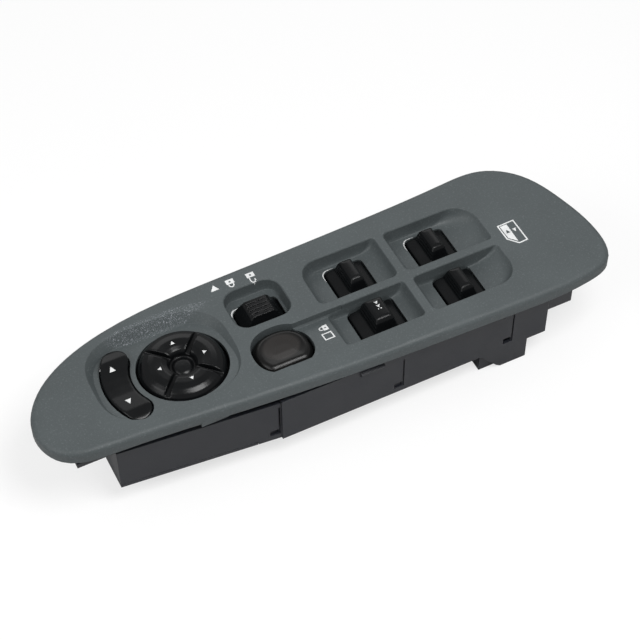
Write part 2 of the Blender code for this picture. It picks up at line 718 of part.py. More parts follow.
def build_select_key():
    """The left and right mirror selector, curved round the pad and rocking end to end."""
    rise = PIVOT_DEPTH - SELECT_BELOW_DECK
    outline = select_outline(SELECT_GAP) - np.array(SELECT_CENTRE)
    local = np.stack([outline[:, 1], -outline[:, 0]], axis=1)
    key = place("mirror_select_rocker", prism(local, -KEY_SKIRT, rise + 1), "black_key",
                (*SELECT_CENTRE, PIVOT_Z), 90.0)
    top = [
        (9.0, -3.0), (26.0, 0.8), (26.0, rise - 3.2), (20.5, rise - 0.9), (16.0, rise), (11.0, rise - 0.5),
        (5.0, rise - 1.1), (0.0, rise - 1.2),
    ]
    trim(key, side_prism(mirrored(top), -14, 14))
    half_width = SELECT_HALF_WIDTH - SELECT_GAP
    roof = TOWER_RISE + 1.6
    cut(key, box(-TOWER_HALF_WIDTH - 0.8, TOWER_HALF_WIDTH + 0.8, -4.6, 4.6, -4, roof))
    cut(key, lying_cylinder(
        "Y", -half_width + 0.6, half_width - 0.6, 0, 0, TRUNNION_RADIUS + TRUNNION_CLEARANCE))
    join(key, box(
        -TONGUE_HALF, TONGUE_HALF, -SELECT_TONGUE / 2, SELECT_TONGUE / 2, -TONGUE_ARM, roof + 0.5))
    join(key, lying_cylinder(
        "Y", -SELECT_TONGUE / 2 + 0.01, SELECT_TONGUE / 2 - 0.01, 0, -TONGUE_ARM, TONGUE_TIP_RADIUS, 12))
    return key


SELECT_TONGUE = 5.0


# Sliders under the keys: name, centre, turn, width along the key's axis, half length of the tower

def key_seats():
    seats = []
    for name, column, row, _, _ in WINDOW_KEYS:
        half = KEY_OPENING_LENGTH / 2 - KEY_GAP - KEY_WALL - SEAT_GAP
        seats.append((name.replace("rocker", "slider"), key_centre(column, row), 0, SLIDER_WIDTH, half))
    half = DOOR_OPENING_WIDTH / 2 - KEY_GAP - KEY_WALL - SEAT_GAP
    seats.append(("door_lock_slider", DOOR_KEY_CENTRE, 0, 11.0, half))
    seats.append(("mirror_select_slider", SELECT_CENTRE, 90, 9.0, 4.3))
    return seats


def build_slider(name, centre, turn_deg, width, _):
    foot = BOARD_TOP + SEAT_GAP
    key_tip = PIVOT_Z - TONGUE_ARM
    slider = place(name, box(-SLIDER_HALF, SLIDER_HALF, -width / 2, width / 2, 0, SLIDER_HEIGHT),
                   "slider_white", (*centre, foot), turn_deg)
    slot = TONGUE_TIP_RADIUS + SLIDER_SLOT_CLEARANCE
    slot_bottom = key_tip - foot - TONGUE_TIP_RADIUS - 0.4
    cut(slider, box(-slot, slot, -width / 2 - 1, width / 2 + 1, slot_bottom, SLIDER_HEIGHT + 1))
    return slider


# Window lock button, its spring and its latching switch

def build_lock_button():
    top = DECK_TOP - LOCK_BELOW_DECK
    levels = [(-9.0, 0.0), (-3.6, 0.0), (-2.2, 0.5), (-0.9, 1.5), (-0.2, 2.6), (0.0, 3.6), (-0.5, 6.5), (-0.8, 9.5)]
    at = Vector((LOCK_X, LOCK_Y, top))
    rings = []
    for z, inset in levels:
        outline = lock_outline(LOCK_GAP + inset)
        rings.append([(x - at.x, y - at.y, z) for x, y in outline])
    button = place("window_lock_button", loft(rings), "lock_key", at)
    inner = [(x - at.x, y - at.y) for x, y in lock_outline(LOCK_GAP + 2.0)]
    core = [(x - at.x, y - at.y) for x, y in lock_outline(LOCK_GAP + 4.5)]
    cut(button, loft([ring_at(inner, -11.0), ring_at(inner, -4.0), ring_at(core, -2.8)]))
    join(button, cylinder(0, 0, LOCK_SWITCH_TOP + 2 * SEAT_GAP + 3.2 - top, -2.0, LOCK_SHAFT_RADIUS))
    return button


LOCK_SWITCH_HALF = 4.0
LOCK_SWITCH_TOP = BOARD_TOP + 6.0


def build_lock_switch():
    body = place("lock_switch", box(
        -LOCK_SWITCH_HALF, LOCK_SWITCH_HALF, -LOCK_SWITCH_HALF, LOCK_SWITCH_HALF,
        BOARD_TOP + SEAT_GAP, LOCK_SWITCH_TOP), "black_housing", (LOCK_X, LOCK_Y, 0))
    cut(body, box(-1.8, 1.8, -1.8, 1.8, BOARD_TOP - 1, LOCK_SWITCH_TOP + 1))
    plunger = place("lock_switch_plunger", box(
        -1.5, 1.5, -1.5, 1.5, BOARD_TOP + LOCK_TRAVEL + 2 * SEAT_GAP, LOCK_SWITCH_TOP + SEAT_GAP + 3.2),
        "slider_white", (LOCK_X, LOCK_Y, 0))
    return body, plunger


def build_lock_spring():
    """A compression spring round the button's shaft."""
    wire, radius, turns, per_turn = 0.45, 4.6, 5, 12
    low = PLATFORM_TOP + SEAT_GAP + wire
    high = DECK_TOP - LOCK_BELOW_DECK - 2.8 - SEAT_GAP - wire
    curve = bpy.data.curves.new("lock_button_spring", "CURVE")
    curve.dimensions = "3D"
    curve.bevel_depth = wire * MM
    curve.bevel_resolution = 1
    curve.use_fill_caps = True
    spline = curve.splines.new("POLY")
    count = turns * per_turn + 1
    spline.points.add(count - 1)
    for i, point in enumerate(spline.points):
        share = i / (count - 1)
        angle = 2 * math.pi * turns * share
        spot = Vector((radius * math.cos(angle), radius * math.sin(angle), low + (high - low) * share))
        point.co = (*(spot * MM), 1.0)
    curve.materials.append(MATERIALS["screw_steel"])
    spring = bpy.data.objects.new("lock_button_spring", curve)
    spring.location = Vector((LOCK_X, LOCK_Y, 0)) * MM
    PARTS.objects.link(spring)
    return spring


# Mirror pad and its gimbal

def build_mirror_pad():
    """One moulding: four raised petals round a sunk cap, with a skirt and gimbal ears."""
    rim = PAD_OPENING_RADIUS - PAD_GAP
    crest = PAD_PIVOT_DEPTH + PAD_PROUD
    cap = PAD_PIVOT_DEPTH - PAD_CAP_DEPTH
    outer = [
        (0, cap + 0.4), (PAD_CAP_RADIUS * 0.7, cap + 0.25), (PAD_CAP_RADIUS - 0.4, cap - 0.3),
        (PAD_CAP_RADIUS, cap - 0.8), (PAD_CAP_RADIUS + 1.2, cap - 0.8),
        (PAD_CAP_RADIUS + 1.5, crest - 2.8), (PAD_CAP_RADIUS + 2.4, crest - 1.3),
        (PAD_CAP_RADIUS + 5.0, crest - 0.2), (rim - 8.0, crest), (rim - 5.0, crest - 0.5),
        (rim - 2.6, crest - 1.7), (rim - 0.9, crest - 3.6), (rim, crest - 6.2), (rim, -2.0),
    ]
    inner = [
        (rim - 1.7, -2.0), (rim - 1.7, crest - 7.0), (rim - 4.5, crest - 5.0),
        (PAD_CAP_RADIUS + 4.0, crest - 5.0), (PAD_CAP_RADIUS + 2.6, cap - 1.7), (0, cap - 1.7),
    ]
    pad = place("mirror_pad", turned(outer + inner, 64), "black_key", (PAD_X, PAD_Y, PAD_PIVOT_Z))
    groove_floor = crest - 3.4
    for i in range(4):
        groove = box(PAD_CAP_RADIUS + 1.3, rim + 2, -PAD_GROOVE_WIDTH / 2, PAD_GROOVE_WIDTH / 2,
                     groove_floor, crest + 2)
        bmesh.ops.rotate(groove, verts=groove.verts, cent=(0, 0, 0),
                         matrix=Matrix.Rotation(math.radians(45 + 90 * i), 3, "Z"))
        cut(pad, groove)
    for side in (-1, 1):
        low, high = sorted((side * PAD_EAR[0], side * PAD_EAR[1]))
        join(pad, box(-2.4, 2.4, low, high, -2.2, cap - 1.3))
    cut(pad, lying_cylinder("Y", -PAD_EAR[1] - 1, PAD_EAR[1] + 1, 0, 0, 1.2 + TRUNNION_CLEARANCE, 12))
    for i in range(4):
        angle = math.radians(90 * i)
        join(pad, cylinder(14 * math.cos(angle), 14 * math.sin(angle), -0.2, crest - 4.2, 2.0, 12))
    return pad


def build_mirror_gimbal():
    ring = place("mirror_gimbal", box(
        -PAD_RING_HALF, PAD_RING_HALF, -PAD_RING_HALF, PAD_RING_HALF, -1.6, 1.6),
        "slider_white", (PAD_X, PAD_Y, PAD_PIVOT_Z))
    for axis in ("X", "Y"):
        join(ring, lying_cylinder(axis, -PAD_EAR[1] + 0.2, PAD_EAR[1] - 0.2, 0, 0, 1.2, 12))
    cut(ring, box(-2.4, 2.4, -2.4, 2.4, -3, 3))
    return ring


def build_mirror_board():
    low = PLATFORM_TOP + SEAT_GAP
    board = place("mirror_board", cylinder(0, 0, low, low + 1.2, MIRROR_BOARD_RADIUS, 48), "board_green",
                  (PAD_X, PAD_Y, 0))
    cut(board, cylinder(0, 0, low - 1, low + 3, MIRROR_BOARD_HOLE, 32))
    return board


def build_dome_mat():
    low = PLATFORM_TOP + 2 * SEAT_GAP + 1.2
    mat = place("mirror_dome_mat", cylinder(0, 0, low, low + 0.9, MIRROR_BOARD_RADIUS - 0.4, 48),
                "silicone_grey", (PAD_X, PAD_Y, 0))
    for i in range(4):
        angle = math.radians(90 * i)
        join(mat, cylinder(
            14 * math.cos(angle), 14 * math.sin(angle), low + 0.5, low + 2.4, 3.4, 16, top_radius=2.4))
    cut(mat, cylinder(0, 0, low - 1, low + 4, MIRROR_BOARD_HOLE + 0.4, 32))
    return mat


# Switch housing

def mirror_walls(x):
    """The near and far wall of the tapering mirror section at a place along it."""
    share = (x - HOUSING_FRONT_X) / (MIRROR_SECTION_X - HOUSING_FRONT_X)
    return (
        MIRROR_NEAR_FRONT_Y + (MIRROR_NEAR_REAR_Y - MIRROR_NEAR_FRONT_Y) * share,
        MIRROR_FAR_FRONT_Y + (HOUSING_FAR_Y - MIRROR_FAR_FRONT_Y) * share,
    )


def latch_walls(x):
    """The near and far wall at a latch's narrower side."""
    if x < MIRROR_SECTION_X:
        return mirror_walls(x - LATCH_WIDTH)
    return HOUSING_NEAR_Y, HOUSING_FAR_Y


def housing_outline(inset):
    """Plan of the housing walls, anticlockwise from the near front corner."""
    front = HOUSING_FRONT_X + inset
    near, far = mirror_walls(front)
    return [
        (front, near + inset),
        (MIRROR_SECTION_X, MIRROR_NEAR_REAR_Y + inset),
        (MIRROR_SECTION_X, HOUSING_NEAR_Y + inset),
        (HOUSING_REAR_X - inset, HOUSING_NEAR_Y + inset),
        (HOUSING_REAR_X - inset, HOUSING_FAR_Y - inset),
        (MIRROR_SECTION_X, HOUSING_FAR_Y - inset),
        (front, far - inset),
    ]


def build_housing():
    shell = place("switch_housing", prism(housing_outline(0.0), BASE_BOTTOM, HOUSING_TOP), "black_housing")
    cut(shell, prism(housing_outline(HOUSING_WALL), BASE_BOTTOM - 2, PLATFORM_BOTTOM))
    cut(shell, prism(housing_outline(HOUSING_WALL * 0.8), PLATFORM_TOP, HOUSING_TOP + 2))
    far = 60.0
    cut(shell, box(HOUSING_FRONT_X - 5, MIRROR_SECTION_X - 0.01, -far, far, MIRROR_WALL_TOP, HOUSING_TOP + 3))
    cut(shell, box(HOUSING_FRONT_X - 5, MIRROR_SECTION_X - 12.0, -far, far,
                   BASE_BOTTOM - 3, BASE_TOP + SEAT_GAP))
    guard = [
        (MAIN_SOCKET_X[0] - 1.0, BASE_BOTTOM + 1), (MAIN_SOCKET_X[0] - 1.0, BASE_BOTTOM),
        (MAIN_SOCKET_X[0] + 9.0, 1.8), (MAIN_SOCKET_X[0] + 11.5, 0.0), (MAIN_SOCKET_X[1], 0.0),
        (MAIN_SOCKET_X[1], BASE_BOTTOM + 1),
    ]
    join(shell, side_prism(guard, HOUSING_NEAR_Y, HOUSING_NEAR_Y + HOUSING_WALL))
    for name, (x, y), ear_top, (x0, y0, x1, y1) in screw_places():
        low = ear_top - (12.0 if name == "rear_screw" else EAR_THICKNESS)
        reach = 1.2
        block = {
            "front_screw": box(x0, x1 + reach, y0, y1, low, ear_top),
            "rear_screw": box(x0 - reach, x1, y0, y1, low, ear_top),
        }.get(name, box(x0, x1, y0 - reach - (3.0 if name == "far_front_screw" else 0.0), y1, low, ear_top))
        join(shell, block)
        cut(shell, cylinder(x, y, low - 1, ear_top + 1, SCREW_SHANK_RADIUS + 0.5, 16))
        if name == "rear_screw":
            cut(shell, cylinder(x, y, low - 1, ear_top - EAR_THICKNESS, SCREW_HEAD_RADIUS + 0.8, 20))
    for x in (11.8, 92.9):
        wedge = [(HOUSING_NEAR_Y + 0.5, 42.4), (HOUSING_NEAR_Y - 1.5, 41.6), (HOUSING_NEAR_Y - 1.5, 40.9),
                 (HOUSING_NEAR_Y + 0.5, 38.6)]
        join(shell, end_prism(wedge, x - 6.6, x + 6.6))
    for name, centre, turn_deg, width, tower_half in key_seats():
        add_key_tower(shell, centre, turn_deg, width, tower_half)
    add_gimbal_ears(shell)
    cut(shell, cylinder(LOCK_X, LOCK_Y, PLATFORM_BOTTOM - 1, PLATFORM_TOP + 1, LOCK_SHAFT_RADIUS + 0.5))
    for x in LATCH_XS:
        near, far_wall = latch_walls(x)
        low = BASE_TOP + 1.5
        for wall_y in (near, far_wall):
            cut(shell, box(x - LATCH_WIDTH, x, wall_y - 3, wall_y + 3, low, low + LATCH_HEIGHT))
        cut(shell, box(x, x + 0.9, near - 1, near + 0.8, low, PLATFORM_BOTTOM - 0.5))
    return shell


def turned_box(centre, turn_deg, x_half, y_low, y_high, z_low, z_high):
    mesh = box(-x_half, x_half, y_low, y_high, z_low, z_high)
    bmesh.ops.rotate(mesh, verts=mesh.verts, cent=(0, 0, 0),
                     matrix=Matrix.Rotation(math.radians(turn_deg), 3, "Z"))
    bmesh.ops.translate(mesh, verts=mesh.verts, vec=Vector((*centre, 0)) * MM)
    return mesh


def add_key_tower(shell, centre, turn_deg, slider_width, tower_half):
    """The slotted tower that a key pivots on, with its trunnions and the slider's guide ribs."""
    top = PIVOT_Z + TOWER_RISE
    join(shell, turned_box(centre, turn_deg, TOWER_HALF_WIDTH, -tower_half, tower_half, PLATFORM_TOP - 1, top))
    pin = lying_cylinder("Y", -tower_half - 1.4, tower_half + 1.4, 0, PIVOT_Z, TRUNNION_RADIUS)
    bmesh.ops.rotate(pin, verts=pin.verts, cent=(0, 0, 0),
                     matrix=Matrix.Rotation(math.radians(turn_deg), 3, "Z"))
    bmesh.ops.translate(pin, verts=pin.verts, vec=Vector((*centre, 0)) * MM)
    join(shell, pin)
    guide = slider_width / 2 + SEAT_GAP
    for side in (-1, 1):
        low, high = sorted((side * guide, side * (guide + 1.5)))
        join(shell, turned_box(centre, turn_deg, SLIDER_HALF + 3, low, high,
                               BOARD_TOP + SEAT_GAP, PLATFORM_BOTTOM + 1))
    slot = min(TONGUE_WIDTH / 2 + 0.6, tower_half - 1.2)
    cut(shell, turned_box(centre, turn_deg, TOWER_SLOT_HALF, -slot, slot, PLATFORM_BOTTOM - 1, top + 1))


def add_gimbal_ears(shell):
    for side in (-1, 1):
        low, high = sorted((PAD_X + side * PAD_EAR[0], PAD_X + side * PAD_EAR[1]))
        join(shell, box(low, high, PAD_Y - 2.4, PAD_Y + 2.4, PLATFORM_TOP - 1, PAD_PIVOT_Z + 1.8))
    cut(shell, lying_cylinder(
        "X", PAD_X - PAD_EAR[1] - 1, PAD_X + PAD_EAR[1] + 1, PAD_Y, PAD_PIVOT_Z, 1.2 + TRUNNION_CLEARANCE, 12))


# Circuit board, base cover and connectors

SOCKETS = [
    ("main_connector", MAIN_SOCKET_X, MAIN_SOCKET_Y, 3, 4),
    ("mirror_connector", MIRROR_SOCKET_X, MIRROR_SOCKET_Y, 3, 2),
]


def build_board():
    return place("circuit_board", prism(
        housing_outline(HOUSING_WALL + 0.6), BOARD_BOTTOM, BOARD_TOP), "board_green")


def build_base():
    """The base cover: a floor inside the walls, a rim under the mirror end, posts and latches."""
    inside = HOUSING_WALL + SEAT_GAP
    cover = place("base_cover", prism(housing_outline(inside), BASE_BOTTOM, BASE_TOP), "black_housing")
    rim_rear = MIRROR_SECTION_X - 12.0 - SEAT_GAP
    near_front, far_front = mirror_walls(HOUSING_FRONT_X)
    near_rear, far_rear = mirror_walls(rim_rear)
    join(cover, prism([
        (HOUSING_FRONT_X, near_front), (rim_rear, near_rear), (rim_rear, far_rear),
        (HOUSING_FRONT_X, far_front)], BASE_BOTTOM - 0.01, BASE_TOP - 0.01))
    for _, x_span, y_span, _, _ in SOCKETS:
        cut(cover, box(
            x_span[0] - SEAT_GAP, x_span[1] + SEAT_GAP, y_span[0] - SEAT_GAP, y_span[1] + SEAT_GAP,
            BASE_BOTTOM - 2, BASE_TOP + 2))
    for x, y in ((-70, -20), (-70, 10), (0, -25), (0, 22), (60, -20), (60, 22)):
        join(cover, cylinder(x, y, BASE_TOP - 1, BOARD_BOTTOM - SEAT_GAP, 2.5, 12))
    for x in LATCH_XS:
        near, far_wall = latch_walls(x)
        for wall_y, inward in ((near, 1), (far_wall, -1)):
            if inward > 0 and MAIN_SOCKET_X[0] < x < MAIN_SOCKET_X[1]:
                continue
            face = wall_y + inward * (inside + 0.1)
            low_y, high_y = sorted((face, face + inward * 1.4))
            join(cover, box(x - LATCH_WIDTH + 0.5, x - 0.5, low_y, high_y, BASE_TOP - 1, BASE_TOP + 6.5))
            hook_low, hook_high = sorted((face - inward * 1.3, face + inward * 0.5))
            join(cover, box(x - LATCH_WIDTH + 0.5, x - 0.5, hook_low, hook_high, BASE_TOP + 2.0, BASE_TOP + 4.6))
    return cover


def build_socket(name, x_span, y_span, columns, rows):
    """A header shroud through the base with a wall across it that carries the pins."""
    top = BOARD_BOTTOM - SEAT_GAP
    body = place(name, box(*x_span, *y_span, 0, top), "black_housing")
    inner_x = (x_span[0] + SOCKET_WALL, x_span[1] - SOCKET_WALL)
    inner_y = (y_span[0] + SOCKET_WALL, y_span[1] - SOCKET_WALL)
    cut(body, box(*inner_x, *inner_y, -1, SOCKET_DEPTH))
    cut(body, box(*inner_x, *inner_y, SOCKET_DEPTH + SOCKET_FLOOR, top + 1))
    hole = PIN_SIZE / 2 + SEAT_GAP
    pins = []
    for i in range(columns):
        for j in range(rows):
            x = x_span[0] + (x_span[1] - x_span[0]) * (i + 1) / (columns + 1)
            y = y_span[0] + (y_span[1] - y_span[0]) * (j + 1) / (rows + 1)
            cut(body, box(x - hole, x + hole, y - hole, y + hole, SOCKET_DEPTH - 1, SOCKET_DEPTH + SOCKET_FLOOR + 1))
            pin = box(-PIN_SIZE / 2, PIN_SIZE / 2, -PIN_SIZE / 2, PIN_SIZE / 2, SOCKET_DEPTH - PIN_BELOW_FLOOR, top)
            pins.append(place(f"{name}_pin_{i * rows + j + 1}", pin, "contact_tin", (x, y, 0)))
    return body, pins


def build_screws():
    for name, (x, y), ear_top, _ in screw_places():
        under = ear_top - EAR_THICKNESS - SEAT_GAP
        screw = place(name, cylinder(0, 0, under - SCREW_HEAD_HEIGHT, under, SCREW_HEAD_RADIUS, 20),
                      "screw_steel", (x, y, 0))
        join(screw, cylinder(0, 0, under - 0.5, ear_top + SCREW_BITE, SCREW_SHANK_RADIUS, 12))


build_bezel()
build_housing()
build_base()
build_board()
for spec in WINDOW_KEYS:
    build_window_key(*spec)
build_door_key()
build_select_key()
for seat in key_seats():
    build_slider(*seat)
build_lock_button()
build_lock_switch()
build_lock_spring()
build_mirror_pad()
build_mirror_gimbal()
build_mirror_board()
build_dome_mat()
for socket in SOCKETS:
    build_socket(*socket)
build_screws()
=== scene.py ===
"""Looks of the driver's door switch panel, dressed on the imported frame. Lengths are in metres."""
import json
import math

import bpy
from mathutils import Matrix, Vector


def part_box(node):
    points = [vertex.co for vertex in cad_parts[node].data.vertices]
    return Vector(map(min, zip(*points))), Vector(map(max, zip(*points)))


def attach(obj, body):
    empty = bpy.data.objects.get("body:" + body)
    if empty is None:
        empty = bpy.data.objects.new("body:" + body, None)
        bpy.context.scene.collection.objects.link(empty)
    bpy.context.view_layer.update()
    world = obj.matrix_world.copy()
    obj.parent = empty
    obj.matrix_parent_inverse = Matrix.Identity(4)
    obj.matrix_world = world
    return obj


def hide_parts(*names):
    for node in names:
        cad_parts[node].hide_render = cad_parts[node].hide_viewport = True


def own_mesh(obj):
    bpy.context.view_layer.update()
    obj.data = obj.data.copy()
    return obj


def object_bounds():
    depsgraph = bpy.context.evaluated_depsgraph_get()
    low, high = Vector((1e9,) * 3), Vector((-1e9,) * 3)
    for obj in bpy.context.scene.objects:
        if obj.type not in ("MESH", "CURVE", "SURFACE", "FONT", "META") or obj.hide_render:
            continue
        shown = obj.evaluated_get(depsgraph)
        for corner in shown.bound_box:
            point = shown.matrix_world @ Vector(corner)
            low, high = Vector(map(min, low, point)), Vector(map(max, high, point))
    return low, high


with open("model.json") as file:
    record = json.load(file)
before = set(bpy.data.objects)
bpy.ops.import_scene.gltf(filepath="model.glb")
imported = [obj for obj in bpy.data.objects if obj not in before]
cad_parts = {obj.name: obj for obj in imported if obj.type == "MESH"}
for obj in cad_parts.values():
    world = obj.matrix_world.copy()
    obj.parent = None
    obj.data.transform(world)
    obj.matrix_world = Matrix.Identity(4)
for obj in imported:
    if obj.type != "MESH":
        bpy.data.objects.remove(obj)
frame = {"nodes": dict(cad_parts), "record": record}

CAD_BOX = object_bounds()
NODES = frame["nodes"]
SLOT_OF = {row["node"]: row["material_slot"] for row in frame["record"]["subparts"]}
BODY_OF = {
    node: body for body, nodes in frame["record"]["behaviour"]["bodies"].items() for node in nodes
}
MM = 0.001
WHITE = (1, 1, 1, 1)

# Camera of the photograph
LENS_MM = 101.122
SENSOR_MM = 36.0
CAMERA_PLACE = Vector((-0.24976, -0.50823, 0.73935))
CAMERA_AZIMUTH = math.radians(26.4378)
CAMERA_PITCH = math.radians(50.8862)
CAMERA_ROLL = math.radians(-0.4143)
CLIP_NEAR = 0.05
CLIP_FAR = 20.0

# Room and floor
AMBIENT = 0.36
FLOOR_SIZE = 6.0
FLOOR_TONE = 0.97
FLOOR_BOUNCE_TONE = 0.60
FLOOR_GLOW_SHARE = 0.68
FLOOR_ROUGHNESS = 0.9
FLOOR_GAP = 0.0004

# Softboxes, all aimed at the middle of the plate: place, size and watts
LAMP_TARGET = (0, 0, 0.04)
SOFTBOXES = {
    "near_softbox": ((0.12, -0.32, 0.78), (0.34, 0.34), 4.4),
    "left_softbox": ((-0.75, -0.10, 0.62), (0.6, 0.6), 3.2),
    "far_softbox": ((0.25, 0.75, 0.60), (0.9, 0.4), 1.4),
}


# Stage

def make_camera():
    data = bpy.data.cameras.new("photo_camera")
    data.sensor_width = SENSOR_MM
    data.lens = LENS_MM
    data.clip_start = CLIP_NEAR
    data.clip_end = CLIP_FAR
    camera = bpy.data.objects.new("photo_camera", data)
    bpy.context.scene.collection.objects.link(camera)
    cos_azimuth, sin_azimuth = math.cos(CAMERA_AZIMUTH), math.sin(CAMERA_AZIMUTH)
    cos_pitch, sin_pitch = math.cos(CAMERA_PITCH), math.sin(CAMERA_PITCH)
    cos_roll, sin_roll = math.cos(CAMERA_ROLL), math.sin(CAMERA_ROLL)
    forward = Vector((sin_azimuth * cos_pitch, cos_azimuth * cos_pitch, -sin_pitch))
    right = Vector((cos_azimuth, -sin_azimuth, 0.0))
    up = right.cross(forward)
    across = cos_roll * right + sin_roll * up
    above = -sin_roll * right + cos_roll * up
    turn = Matrix((across, above, -forward)).transposed().to_4x4()
    camera.matrix_world = Matrix.Translation(CAMERA_PLACE) @ turn
    bpy.context.scene.camera = camera


def softbox(name, place, size, watts):
    data = bpy.data.lights.new(name, "AREA")
    data.shape = "RECTANGLE"
    data.size, data.size_y = size
    data.energy = watts
    lamp = bpy.data.objects.new(name, data)
    lamp.location = place
    aim = Vector(LAMP_TARGET) - Vector(place)
    lamp.rotation_euler = aim.to_track_quat("-Z", "Y").to_euler()
    bpy.context.scene.collection.objects.link(lamp)


def white_background(tree, strength):
    node = tree.nodes.new("ShaderNodeBackground")
    node.inputs["Color"].default_value = WHITE
    node.inputs["Strength"].default_value = strength
    return node.outputs[0]


def pick_shader(tree, factor, first, second):
    node = tree.nodes.new("ShaderNodeMixShader")
    for socket, value in zip(node.inputs, (factor, first, second)):
        tree.links.new(value, socket)
    return node.outputs[0]


def make_world():
    """An even room for the light, and plain white where the camera looks past the floor."""
    world = bpy.data.worlds.new("studio")
    bpy.context.scene.world = world
    world.use_nodes = True
    tree = world.node_tree
    tree.nodes.clear()
    seen = tree.nodes.new("ShaderNodeLightPath").outputs["Is Camera Ray"]
    look = pick_shader(tree, seen, white_background(tree, AMBIENT), white_background(tree, 1.0))
    output = tree.nodes.new("ShaderNodeOutputWorld")
    tree.links.new(look, output.inputs["Surface"])


def make_floor():
    """A pale floor that the camera sees as white, with the object's own shadow left in it.

    It throws less light back at the object than it shows, and it is clear from below.
    """
    bpy.ops.object.select_all(action="DESELECT")
    bpy.ops.mesh.primitive_plane_add(size=FLOOR_SIZE, location=(0, 0, CAD_BOX[0].z - FLOOR_GAP))
    floor = bpy.context.object
    floor.name = "studio_floor"
    material = bpy.data.materials.new("pale_floor")
    material.use_nodes = True
    tree = material.node_tree
    shader = tree.nodes["Principled BSDF"]
    shader.inputs["Roughness"].default_value = FLOOR_ROUGHNESS
    shader.inputs["Specular IOR Level"].default_value = 0.0
    seen = tree.nodes.new("ShaderNodeLightPath").outputs["Is Camera Ray"]
    tone = tree.nodes.new("ShaderNodeMapRange")
    tone.inputs["To Min"].default_value = FLOOR_BOUNCE_TONE
    tone.inputs["To Max"].default_value = FLOOR_TONE
    tree.links.new(seen, tone.inputs["Value"])
    tree.links.new(tone.outputs[0], shader.inputs["Base Color"])
    share = tree.nodes.new("ShaderNodeMath")
    share.operation = "MULTIPLY"
    share.inputs[1].default_value = FLOOR_GLOW_SHARE
    tree.links.new(seen, share.inputs[0])
    glow = tree.nodes.new("ShaderNodeEmission")
    glow.inputs["Color"].default_value = WHITE
    glow.inputs["Strength"].default_value = 1.0
    top = pick_shader(tree, share.outputs[0], shader.outputs[0], glow.outputs[0])
    below = tree.nodes.new("ShaderNodeNewGeometry").outputs["Backfacing"]
    clear = tree.nodes.new("ShaderNodeBsdfTransparent").outputs[0]
    look = pick_shader(tree, below, top, clear)
    tree.links.new(look, tree.nodes["Material Output"].inputs["Surface"])
    floor.data.materials.append(material)


bpy.context.scene.view_settings.view_transform = "Standard"
make_camera()
make_world()
make_floor()
for name, lamp in SOFTBOXES.items():
    softbox(name, *lamp)


# Effects shared by the finishes

GRAIN_SOFTNESS = 0.6
HAZE_SHARE = 0.55
HAZE_DETAIL = 3.0
GRAIN_TIPS = (0.28, 0.5)
DRIFT_DETAIL = 4.0
DRIFT_SPAN = (0.35, 0.65)
CORNER_SAMPLES = 4
CORNER_LIKENESS = (0.985, 0.86)
WEAR_DETAIL = 3.0
OVAL_EDGE = (1.0, 0.82)


def group_with(name, inputs, outputs):
    tree = bpy.data.node_groups.new(name, "ShaderNodeTree")
    for label, kind, value in inputs:
        socket = tree.interface.new_socket(label, in_out="INPUT", socket_type=kind)
        socket.default_value = value
    for label, kind in outputs:
        tree.interface.new_socket(label, in_out="OUTPUT", socket_type=kind)
    return tree, tree.nodes.new("NodeGroupInput"), tree.nodes.new("NodeGroupOutput")


def add_math(tree, operation, first, second):
    node = tree.nodes.new("ShaderNodeMath")
    node.operation = operation
    for socket, value in zip(node.inputs, (first, second)):
        if isinstance(value, (int, float)):
            socket.default_value = value
        else:
            tree.links.new(value, socket)
    return node.outputs[0]


def add_vector(tree, operation, first, second, output=0):
    node = tree.nodes.new("ShaderNodeVectorMath")
    node.operation = operation
    tree.links.new(first, node.inputs[0])
    if second is not None:
        tree.links.new(second, node.inputs[1])
    return node.outputs[output]


def add_mix(tree, factor, first, second):
    node = tree.nodes.new("ShaderNodeMix")
    node.data_type = "RGBA"
    tree.links.new(factor, node.inputs["Factor"])
    for socket, value in ((node.inputs["A"], first), (node.inputs["B"], second)):
        if isinstance(value, tuple):
            socket.default_value = (*value, 1)
        else:
            tree.links.new(value, socket)
    return node.outputs["Result"]


def add_range(tree, value, spread, target=(0.0, 1.0)):
    node = tree.nodes.new("ShaderNodeMapRange")
    node.inputs["From Min"].default_value, node.inputs["From Max"].default_value = spread
    node.inputs["To Min"].default_value, node.inputs["To Max"].default_value = target
    tree.links.new(value, node.inputs["Value"])
    return node.outputs[0]


def add_noise(tree, place, scale, detail):
    node = tree.nodes.new("ShaderNodeTexNoise")
    node.inputs["Detail"].default_value = detail
    tree.links.new(place, node.inputs["Vector"])
    tree.links.new(scale, node.inputs["Scale"])
    return node.outputs["Fac"]


def object_place(tree):
    return tree.nodes.new("ShaderNodeTexCoord").outputs["Object"]


def build_grain_group():
    """Moulded grain: a height that bumps the surface and a mask of its bright tips."""
    tree, given, result = group_with(
        "moulded_grain",
        [("Cell Scale", "NodeSocketFloat", 1500.0)],
        [("Height", "NodeSocketFloat"), ("Tips", "NodeSocketFloat")],
    )
    place = object_place(tree)
    cells = tree.nodes.new("ShaderNodeTexVoronoi")
    cells.feature = "SMOOTH_F1"
    cells.inputs["Smoothness"].default_value = GRAIN_SOFTNESS
    tree.links.new(place, cells.inputs["Vector"])
    tree.links.new(given.outputs["Cell Scale"], cells.inputs["Scale"])
    coarse = add_math(tree, "MULTIPLY", given.outputs["Cell Scale"], HAZE_SHARE)
    haze = add_noise(tree, place, coarse, HAZE_DETAIL)
    blend = add_math(tree, "MULTIPLY", cells.outputs["Distance"], haze)
    tree.links.new(blend, result.inputs["Height"])
    tree.links.new(add_range(tree, blend, GRAIN_TIPS), result.inputs["Tips"])
    return tree


